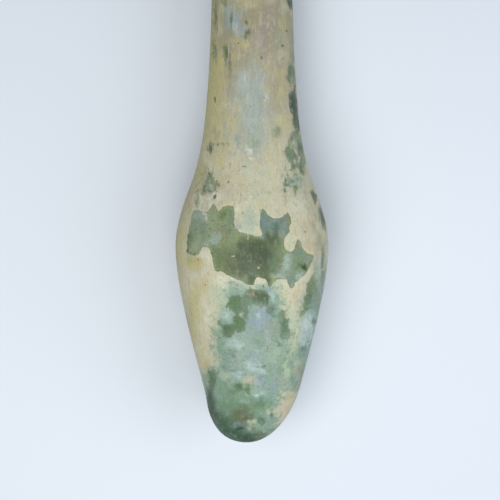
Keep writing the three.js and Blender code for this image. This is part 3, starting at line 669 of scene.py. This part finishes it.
def seen(points, stage):
    """Where each point shows on the photographed side: across and up in the axis's plane, in millimetres."""
    toward = -points[:, 1]
    cos, sin = math.cos(stage.elevation), math.sin(stage.elevation)
    right = points[:, 0] - stage.aim_across
    rise = points[:, 2] - stage.aim_up
    near = toward * cos + rise * sin
    grow = stage.distance / (stage.distance - near)
    across = stage.aim_across + right * grow
    up = stage.picture_middle + (rise * cos - toward * sin) * grow
    return across / MM, up / MM


def depth_inside(outline, across, up):
    """How deep each place lies inside an outline, in millimetres; below 0 outside it."""
    nearest = np.full(len(across), np.inf)
    inside = np.zeros(len(across), bool)
    for (x0, y0), (x1, y1) in zip(outline, outline[1:] + outline[:1]):
        dx, dy = x1 - x0, y1 - y0
        along = np.clip(((across - x0) * dx + (up - y0) * dy) / (dx * dx + dy * dy), 0, 1)
        nearest = np.minimum(nearest, np.hypot(across - x0 - along * dx, up - y0 - along * dy))
        if dy:
            inside ^= ((y0 > up) != (y1 > up)) & (across < x0 + (up - y0) * dx / dy)
    return np.where(inside, nearest, -nearest)


def depth_in_oval(oval, across, up):
    x, y, half_width, half_height = oval
    reach = np.hypot((across - x) / half_width, (up - y) / half_height)
    return (1 - reach) * min(half_width, half_height)


def paint(colours, base, dabs, across, up, shown):
    """A colour for each point: the base, with the dabs laid over it in turn on the photographed side."""
    tint = np.tile(np.array(getattr(colours, base)), (len(across), 1))
    for x, y, half_width, half_height, name, strength in dabs:
        reach = np.hypot((across - x) / half_width, (up - y) / half_height)
        weight = (strength * shown * np.exp(-(reach**3)))[:, None]
        tint = tint * (1 - weight) + np.array(getattr(colours, name)) * weight
    return tint


def keep(mesh, name, values):
    """Stores one value, or one colour, for each vertex."""
    if values.ndim == 1:
        mesh.attributes.new(name, "FLOAT", "POINT").data.foreach_set("value", values.astype(np.float32))
    else:
        rgba = np.c_[values, np.ones(len(values))].astype(np.float32)
        mesh.attributes.new(name, "FLOAT_COLOR", "POINT").data.foreach_set("color", rgba.ravel())


def bare_glass(points, across, up, facing, hidden):
    """How deep each point lies in bare glass on the photographed side, and how wide its patch's edge is."""
    patches = [(depth_inside(outline, across, up), width) for outline, width in BARE_PATCHES]
    patches += [(depth_in_oval(chip, across, up), CHIP_EDGE) for chip in BARE_CHIPS]
    bare = np.full(len(points), -DEPTH_LIMIT)
    edge = np.full(len(points), CRISP_EDGE)
    for depth, width in patches:
        depth = depth - hidden
        edge = np.where(depth > bare, width, edge)
        bare = np.maximum(bare, depth)
    # Patches that reach the sides fray out there.
    side = smooth(-facing, -0.4, 0.1)
    frayed = side * (0.5 + cloud(points, size=1.7, octaves=5, shift=145, reach=1.6))
    bare = np.maximum(bare - frayed, -DEPTH_LIMIT)
    for fleck in CRUST_FLECKS:
        bare = np.minimum(bare, 3 * hidden - depth_in_oval(fleck, across, up))
    return bare, edge


def unseen_flakes(points, station, belly_at, unseen):
    """How deep each point lies in the hidden side's flaked patches, most of them round the belly."""
    belt = np.exp(-(((station - belly_at) / FLAKE_BELT) ** 2))
    flaking = cloud(points, size=7, octaves=5, shift=85) + BELT_FLAKING * belt - SOUND_CRUST
    return 5 * flaking - 2 * DEPTH_LIMIT * (1 - unseen)


def thin_film(points, across, up, hidden, station, unseen):
    """How deep each point lies in the film, which covers the foot's end on the hidden side."""
    film = np.full(len(points), -FILM_LIMIT)
    for outline in FILM_PATCHES:
        film = np.maximum(film, depth_inside(outline, across, up) - hidden)
    foot_film = (FOOT_FILM_TOP - station) / 2 + cloud(points, size=6, octaves=4, shift=105, reach=4)
    return np.maximum(film, foot_film - 8 * (1 - unseen))


def weather(bottle, sizes, colours, stage):
    """Lays out the crust, the film and the bare glass, and sinks the bare places below the crust."""
    mesh = bottle.data
    points = read_points(mesh)
    normals = np.array([v.normal[:] for v in mesh.vertices])
    outward = (normals[:, :2] * points[:, :2]).sum(axis=1)
    above_floor = points[:, 2] > sizes.foot_wall / 2
    below_lip = points[:, 2] < sizes.overall - sizes.lip_roll / 2
    inner = (outward <= 0) & above_floor & below_lip
    station = points[:, 2] / MM

    # The facing runs from 1 at the middle of the photographed side, through 0 at its edges, to -1 behind.
    # Patches and colours fade out past a veil that wavers about those edges.
    facing = -points[:, 1] / np.maximum(np.hypot(points[:, 0], points[:, 1]), MM)
    veil = facing + cloud(points, size=3, octaves=4, shift=125, reach=0.3)
    hidden = 6 * np.maximum(0, -veil)
    shown = smooth(veil, -0.4, 0.0)
    true_across, true_up = seen(points, stage)
    above_picture = smooth(true_up, stage.picture_top / MM, stage.picture_top / MM + 3)
    unseen = np.maximum(smooth(-facing, 0.0, 0.25), above_picture)

    # Crisp outlines waver a little, and soft ones more.
    across = true_across + cloud(points, size=1.3, octaves=3, shift=5, reach=0.16)
    up = true_up + cloud(points, size=1.3, octaves=3, shift=25, reach=0.16)
    loose_across = true_across + cloud(points, size=1.6, octaves=4, shift=45, reach=0.7)
    loose_up = true_up + cloud(points, size=1.6, octaves=4, shift=65, reach=0.9)

    bare, edge = bare_glass(points, across, up, facing, hidden)
    flakes = unseen_flakes(points, station, sizes.belly_at / MM, unseen)
    edge = np.where(flakes > bare, FLAKE_EDGE, edge)
    bare = np.maximum(bare, flakes)
    film = thin_film(points, loose_across, loose_up, hidden, station, unseen)
    pits = np.full(len(points), -DEPTH_LIMIT)
    for pit in PITS:
        pits = np.maximum(pits, depth_in_oval(pit, across, up) - hidden)

    # Shares of the crust's thickness.
    shed = smooth(bare, -0.1, 0.2)
    sink = shed + FILM_SINK * smooth(film, -0.5, 0.8) * (1 - shed) + PIT_SINK * smooth(pits, -0.1, 0.2)
    sink += UNEVENNESS * (1 + cloud(points, size=3.2, octaves=3, shift=21))
    write_points(mesh, points - normals * np.where(inner, 0, sink * sizes.crust)[:, None])

    keep(mesh, "bare", np.clip(bare, -DEPTH_LIMIT, DEPTH_LIMIT))
    keep(mesh, "edge", edge)
    keep(mesh, "film", np.clip(film, -FILM_LIMIT, FILM_LIMIT))
    keep(mesh, "pits", np.clip(pits, -DEPTH_LIMIT, DEPTH_LIMIT))
    keep(mesh, "inner", inner.astype(float))
    film_tint = paint(colours, "teal", FILM_DABS, loose_across, loose_up, shown)
    thick_glass = (unseen * smooth(station, sizes.foot_end / MM, 2))[:, None]
    film_tint = film_tint * (1 - thick_glass) + np.array(colours.deep) * thick_glass
    keep(mesh, "crust_tint", paint(colours, "cream", CRUST_DABS, loose_across, loose_up, shown))
    keep(mesh, "film_tint", film_tint)
    keep(mesh, "glass_tint", paint(colours, "olive", GLASS_DABS, loose_across, loose_up, shown))


def lean_foot(bottle, sizes):
    """Moves the tip of the foot aside, where the blower's rod left it."""
    points = read_points(bottle.data)
    points[:, 0] -= sizes.foot_lean * (1 - smooth(points[:, 2], 0, sizes.foot_lean_length))
    write_points(bottle.data, points)


def resting_place(sizes):
    """How the upright bottle is laid down: on its belly and on the edge of its lip, with its front up."""
    lip_at = sizes.overall - sizes.lip_roll
    axis_height = sizes.belly_radius - sizes.belly_flat
    tilt = math.atan((axis_height - sizes.lip_radius + sizes.lip_flat) / (lip_at - sizes.belly_at))
    belly_y = CAD_LOW.y + sizes.belly_at * math.cos(tilt)
    turn = Matrix.Rotation(-math.pi / 2 - tilt, 4, "X")
    return Matrix.Translation((0, belly_y, axis_height)) @ turn @ Matrix.Translation((0, 0, -sizes.belly_at))


def lay_down(bottle, sizes):
    bottle.matrix_world = resting_place(sizes)
    bpy.ops.object.select_all(action="DESELECT")
    bottle.select_set(True)
    bpy.context.view_layer.objects.active = bottle
    bpy.ops.object.transform_apply(location=True, rotation=True, scale=True)
    write_points(bottle.data, np.clip(read_points(bottle.data), CAD_LOW, CAD_HIGH))


class Bench:
    """Adds nodes to one material and joins them. Each call gives the socket that carries its result."""

    def __init__(self, material):
        self.tree = material.node_tree
        where = self.tree.nodes.new("ShaderNodeTexCoord").outputs["Object"]
        self.place = self.scale(where, 1 / MM)

    def set(self, node, socket, value):
        if isinstance(value, bpy.types.NodeSocket):
            self.tree.links.new(value, node.inputs[socket])
        else:
            node.inputs[socket].default_value = value

    def attribute(self, name, output="Fac"):
        node = self.tree.nodes.new("ShaderNodeAttribute")
        node.attribute_name = name
        return node.outputs[output]

    def math(self, operation, a, b=0.0, c=0.0):
        node = self.tree.nodes.new("ShaderNodeMath")
        node.operation = operation
        for socket, value in enumerate((a, b, c)):
            self.set(node, socket, value)
        return node.outputs[0]

    def add(self, a, b):
        return self.math("ADD", a, b)

    def times(self, a, b):
        return self.math("MULTIPLY", a, b)

    def step(self, value, low, high, out_low=0.0, out_high=1.0):
        node = self.tree.nodes.new("ShaderNodeMapRange")
        node.interpolation_type = "SMOOTHSTEP"
        for socket, item in enumerate((value, low, high, out_low, out_high)):
            self.set(node, socket, item)
        return node.outputs[0]

    def mix(self, factor, a, b):
        node = self.tree.nodes.new("ShaderNodeMix")
        node.data_type = "RGBA"
        for socket, value in ((0, factor), (6, a), (7, b)):
            self.set(node, socket, value)
        return node.outputs[2]

    def blend(self, factor, a, b):
        node = self.tree.nodes.new("ShaderNodeMix")
        for socket, value in ((0, factor), (2, a), (3, b)):
            self.set(node, socket, value)
        return node.outputs[0]

    def scale(self, vector, factor):
        node = self.tree.nodes.new("ShaderNodeVectorMath")
        node.operation = "SCALE"
        self.set(node, 0, vector)
        self.set(node, "Scale", factor)
        return node.outputs[0]

    def lumps(self, size, detail=2.0, roughness=0.5, along=1.0, shift=0.0):
        """Noise from 0 to 1. The lumps' size is in millimetres, and along draws them out along the bottle."""
        mapping = self.tree.nodes.new("ShaderNodeMapping")
        mapping.inputs["Scale"].default_value = (1 / size, 1 / size / along, 1 / size)
        mapping.inputs["Location"].default_value = (shift, shift, shift)
        self.tree.links.new(self.place, mapping.inputs["Vector"])
        node = self.tree.nodes.new("ShaderNodeTexNoise")
        self.tree.links.new(mapping.outputs[0], node.inputs["Vector"])
        for socket, value in (("Scale", 1.0), ("Detail", detail), ("Roughness", roughness)):
            node.inputs[socket].default_value = value
        return node.outputs[0]

    def mottle(self, colour, tints):
        """Lays each tint over the colour, up to its strength, as its noise goes from low to high."""
        for value, low, high, strength, tint in tints:
            colour = self.mix(self.step(value, low, high, 0, strength), colour, tint)
        return colour

    def around(self, value, middle, amount):
        """Turns noise from 0 to 1 into a number that swings about the middle by the amount."""
        return self.math("MULTIPLY_ADD", value, 2 * amount, middle - amount)


def weathered_glass(colours):
    """One material for the whole bottle, led by the places that weather() has laid out."""
    material = bpy.data.materials.new("weathered_glass")
    material.use_nodes = True
    bench = Bench(material)
    shader = material.node_tree.nodes["Principled BSDF"]

    def tone(name):
        return (*getattr(colours, name), 1)

    broad = bench.lumps(6, 3, 0.55)
    patchy = bench.lumps(1.8, 5, 0.65, shift=3)
    blotchy = bench.lumps(0.9, 5, 0.7, shift=17)
    fine = bench.lumps(0.35, 3, 0.65, shift=7)
    streaks = bench.lumps(0.45, 4, 0.6, along=8, shift=11)

    # The wider an edge is, the more ragged it is.
    edge = bench.attribute("edge")
    ragged = bench.add(bench.around(fine, 0, 0.9), bench.around(blotchy, 0, 1.2))
    ragged = bench.add(ragged, bench.around(streaks, 0, 0.9))
    bare = bench.math("MULTIPLY_ADD", ragged, bench.times(edge, 2.2), bench.attribute("bare"))
    bare_mask = bench.step(bare, bench.times(edge, -1.0), edge)
    film = bench.add(bench.attribute("film"), bench.around(blotchy, 0, 3))
    film_mask = bench.step(film, -1.3, 1.3)

    crust = bench.mottle(bench.attribute("crust_tint", "Color"), [
        (broad, 0.5, 0.72, 0.35, tone("chalk_and_glint")),
        (patchy, 0.5, 0.7, 0.35, tone("straw")),
        (blotchy, 0.5, 0.32, 0.4, tone("haze_and_highlight")),
        (streaks, 0.52, 0.74, 0.4, tone("dun_and_neck_shade")),
        (streaks, 0.46, 0.3, 0.25, tone("chalk_and_glint")),
    ])
    crust = bench.scale(crust, bench.around(fine, 1, 0.24))
    pores = bench.lumps(0.7, 2, 0.5, shift=23)
    crust = bench.mottle(crust, [(pores, 0.7, 0.76, 0.45, tone("umber"))])

    milk = bench.mottle(bench.attribute("film_tint", "Color"), [
        (blotchy, 0.52, 0.62, 0.4, tone("fern")),
        (bench.lumps(1.3, 5, 0.7, shift=29), 0.54, 0.7, 0.4, tone("mint")),
        (bench.lumps(2.6, 4, 0.6, shift=31), 0.54, 0.68, 0.35, tone("lavender")),
        (bench.lumps(0.7, 4, 0.7, shift=41), 0.6, 0.68, 0.6, tone("fern")),
    ])
    milk = bench.scale(milk, bench.around(fine, 1, 0.26))
    milk = bench.scale(milk, bench.around(streaks, 1, 0.2))

    glass = bench.mottle(bench.attribute("glass_tint", "Color"), [
        (blotchy, 0.54, 0.66, 0.4, tone("moss")),
        (bench.lumps(1.4, 6, 0.75, shift=37), 0.55, 0.68, 0.35, tone("olive")),
        (streaks, 0.54, 0.72, 0.3, tone("haze_and_highlight")),
        (bench.lumps(0.5, 4, 0.75, shift=43), 0.58, 0.68, 0.5, tone("moss")),
    ])
    glass = bench.scale(glass, bench.around(fine, 1, 0.4))
    # Bare glass is darkened with umber near the crust's edge: partly dirt caught there, partly painted shade
    # under the edge.
    glass = bench.mottle(glass, [(bare, 0.3, 0.05, 0.25, tone("umber"))])

    surface = bench.mix(film_mask, crust, milk)
    surface = bench.mix(bare_mask, surface, glass)
    pit_mask = bench.step(bench.add(bench.attribute("pits"), bench.around(fine, 0, 0.2)), -0.08, 0.12, 0, 0.8)
    surface = bench.mix(pit_mask, surface, tone("earth"))
    inner = bench.attribute("inner")
    inner_wall = bench.mottle(tone("inner"), [(patchy, 0.4, 0.65, 0.6, tone("slate"))])
    bench.set(shader, "Base Color", bench.mix(inner, surface, inner_wall))

    roughness, clear = (
        bench.blend(inner, bench.blend(bare_mask, bench.blend(film_mask, crusted, filmed), bared), inside)
        for crusted, filmed, bared, inside in zip(CRUST, FILM, BARE, INNER)
    )
    bench.set(shader, "Roughness", bench.add(roughness, bench.around(fine, 0, 0.1)))
    bench.set(shader, "Transmission Weight", clear)

    # Heights in millimetres, too fine for the mesh.
    height = bench.times(bench.math("SUBTRACT", 1, bare_mask), 0.04)
    height = bench.add(height, bench.times(fine, 0.04))
    height = bench.add(height, bench.times(patchy, 0.06))
    height = bench.math("SUBTRACT", height, bench.times(pit_mask, 0.08))
    bump = material.node_tree.nodes.new("ShaderNodeBump")
    bump.inputs["Distance"].default_value = MM
    bench.set(bump, "Height", height)
    bench.set(shader, "Normal", bump.outputs["Normal"])
    shader.inputs["IOR"].default_value = 1.5
    shader.inputs["Specular IOR Level"].default_value = 0.25
    return material


class UNGUENTARIUM_OT_bottle(bpy.types.Operator):
    """Blow the bottle, weather it and lay it down"""

    bl_idname = "unguentarium.bottle"
    bl_label = "Weathered Bottle"

    def execute(self, context):
        scene = context.scene
        bottle = blow(scene.bottle_sizes)
        if not bottle.data.polygons:
            raise RuntimeError("the section gave no surface")
        lean_foot(bottle, scene.bottle_sizes)
        weather(bottle, scene.bottle_sizes, scene.bottle_colours, scene.bottle_stage)
        lay_down(bottle, scene.bottle_sizes)
        bottle.data.materials.clear()
        bottle.data.materials.append(weathered_glass(scene.bottle_colours))
        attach(bottle, "root")
        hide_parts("bottle")
        return {"FINISHED"}


def plain_floor(stage):
    bpy.ops.mesh.primitive_plane_add(size=4, location=(0, 0, 0))
    floor = bpy.context.object
    floor.name = floor.data.name = "floor"
    finish = bpy.data.materials.new("plain_floor")
    finish.use_nodes = True
    shader = finish.node_tree.nodes["Principled BSDF"]
    shader.inputs["Base Color"].default_value = (*stage.floor, 1)
    shader.inputs["Roughness"].default_value = 0.6
    floor.data.materials.append(finish)


def soft_light(name, spot, aim, size, watts, tint):
    """A square area light that faces the point it is aimed at."""
    bpy.ops.object.light_add(type="AREA", location=spot)
    light = bpy.context.object
    light.name = light.data.name = name
    light.data.size = size
    light.data.energy = watts
    light.data.color = tint
    light.rotation_mode = "QUATERNION"
    light.rotation_quaternion = (Vector(aim) - Vector(spot)).to_track_quat("-Z", "Y")


def studio_camera(sizes, stage):
    """Stands square above the bottle's front, a little towards the mouth, as the photograph was taken."""
    cos, sin = math.cos(stage.elevation), math.sin(stage.elevation)
    back = Vector((0, -cos, sin))
    up = Vector((0, sin, cos))
    spot = Vector((stage.aim_across, 0, stage.aim_up)) + back * stage.distance
    stand = Matrix((Vector((1, 0, 0)), up, back)).transposed().to_4x4()
    bpy.ops.object.camera_add()
    camera = bpy.context.object
    camera.name = camera.data.name = "studio_camera"
    camera.data.lens = stage.focal
    camera.data.clip_start = 0.01
    camera.matrix_world = resting_place(sizes) @ Matrix.Translation(spot) @ stand
    bpy.context.scene.camera = camera


class UNGUENTARIUM_OT_stage(bpy.types.Operator):
    """Set the floor, the light and the camera"""

    bl_idname = "unguentarium.stage"
    bl_label = "Studio"

    def execute(self, context):
        scene = context.scene
        stage = scene.bottle_stage
        plain_floor(stage)
        belly = resting_place(scene.bottle_sizes) @ Vector((0, 0, scene.bottle_sizes.belly_at))
        soft_light("key", (-0.05, -0.08, 0.25), belly, size=0.2, watts=stage.key_power, tint=(1, 0.99, 0.97))
        soft_light("fill", (0.2, -0.05, 0.22), belly, size=0.25, watts=stage.fill_power, tint=(0.94, 0.97, 1))
        world = bpy.data.worlds.new("studio_air")
        world.use_nodes = True
        background = world.node_tree.nodes["Background"]
        background.inputs["Color"].default_value = (*stage.air, 1)
        background.inputs["Strength"].default_value = stage.air_strength
        scene.world = world
        scene.view_settings.view_transform = "Standard"
        studio_camera(scene.bottle_sizes, stage)
        if scene.camera is None:
            raise RuntimeError("the stage has no camera")
        return {"FINISHED"}


class UNGUENTARIUM_PT_panel(bpy.types.Panel):
    bl_label = "Bottle"
    bl_idname = "UNGUENTARIUM_PT_panel"
    bl_space_type = "VIEW_3D"
    bl_region_type = "UI"
    bl_category = "Bottle"

    def draw(self, context):
        scene = context.scene
        for settings in (scene.bottle_sizes, scene.bottle_colours, scene.bottle_stage):
            box = self.layout.box()
            for name in settings.__annotations__:
                box.prop(settings, name)
        self.layout.operator("unguentarium.bottle")
        self.layout.operator("unguentarium.stage")


CLASSES = (
    BottleSizes,
    BottleColours,
    StageSettings,
    UNGUENTARIUM_OT_bottle,
    UNGUENTARIUM_OT_stage,
    UNGUENTARIUM_PT_panel,
)


def register():
    for item in CLASSES:
        bpy.utils.register_class(item)
    bpy.types.Scene.bottle_sizes = bpy.props.PointerProperty(type=BottleSizes)
    bpy.types.Scene.bottle_colours = bpy.props.PointerProperty(type=BottleColours)
    bpy.types.Scene.bottle_stage = bpy.props.PointerProperty(type=StageSettings)


def unregister():
    del bpy.types.Scene.bottle_stage
    del bpy.types.Scene.bottle_colours
    del bpy.types.Scene.bottle_sizes
    for item in reversed(CLASSES):
        bpy.utils.unregister_class(item)


def main():
    register()
    bpy.ops.unguentarium.bottle()
    bpy.ops.unguentarium.stage()


if __name__ == "__main__":
    main()
